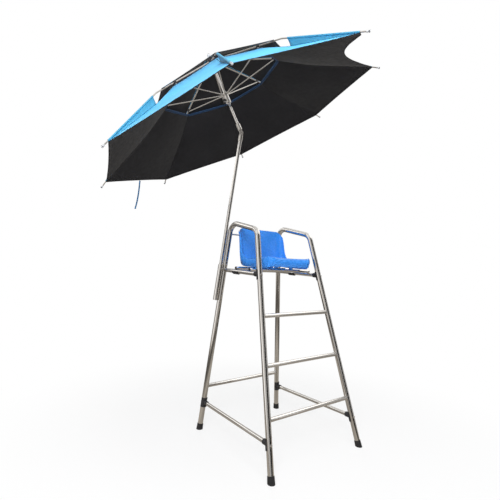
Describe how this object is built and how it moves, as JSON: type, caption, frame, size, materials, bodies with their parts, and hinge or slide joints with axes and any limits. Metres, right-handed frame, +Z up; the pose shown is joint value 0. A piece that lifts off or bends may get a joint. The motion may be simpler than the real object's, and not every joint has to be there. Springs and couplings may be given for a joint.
{
  "type": "lifeguard chair",
  "caption": "Tall open-frame chair of bent steel tube with ladder steps, a moulded bucket seat and a tilting vented umbrella on a mast in a side holder.",
  "frame": {"origin": "on the ground, in the middle of the four feet", "axes": "+Z up, -Y towards the climber in front of the steps, +X to the right of the climber"},
  "size_m": [2.3304, 2.4061, 3.0711],
  "materials": {
    "steel": "polished",
    "rubber": "matte",
    "black_plastic": "satin",
    "rib_metal": "satin",
    "seat_plastic": "gloss",
    "canopy_cloth": "matte",
    "strap": "matte"
  },
  "bodies": {
    "chair": {"left_side_frame": "steel", "right_side_frame": "steel", "lower_step": "steel", "middle_step": "steel", "upper_step": "steel", "rear_rung": "steel", "rear_seat_rail": "steel", "back_rod": "steel", "left_stretcher": "steel", "right_stretcher": "steel", "left_seat_rail": "steel", "right_seat_rail": "steel", "front_seat_bearer": "steel", "rear_seat_bearer": "steel", "mast_holder": "steel", "lower_mast_bracket": "steel", "upper_mast_bracket": "steel", "left_front_foot": "rubber", "left_rear_foot": "rubber", "right_front_foot": "rubber", "right_rear_foot": "rubber", "left_front_stretcher_saddle": "black_plastic", "left_rear_stretcher_saddle": "black_plastic", "right_front_stretcher_saddle": "black_plastic", "right_rear_stretcher_saddle": "black_plastic", "left_seat_rail_saddle": "black_plastic", "right_seat_rail_saddle": "black_plastic", "left_rail_clip": "black_plastic", "right_rail_clip": "black_plastic", "seat_shell": "seat_plastic"},
    "mast": {"mast_tube": "steel", "tilt_fork": "black_plastic", "tilt_pin": "steel"},
    "canopy": {"tilt_knuckle": "black_plastic", "umbrella_shaft": "steel", "crown": "black_plastic", "finial": "black_plastic", "runner": "rib_metal", "runner_knob": "black_plastic", "ribs": "rib_metal", "rib_tips": "rib_metal", "rib_clips": "black_plastic", "rib_stretchers": "rib_metal", "main_canopy": "canopy_cloth", "top_cap": "canopy_cloth", "rib_fins": "canopy_cloth", "tie_strap": "strap"}
  },
  "joints": [
    {"name": "mast_turn", "type": "hinge", "parent": "chair", "child": "mast", "pos_m": [-0.35768, 0.41593, 1.187], "axis": [0.0918, -0.0261, 0.9954], "continuous": true},
    {"name": "canopy_tilt", "type": "hinge", "parent": "mast", "child": "canopy", "pos_m": [-0.24337, 0.3835, 2.426], "axis": [-0.5231, -0.8519, 0.026], "range_deg": [-32, 10]}
  ]
}
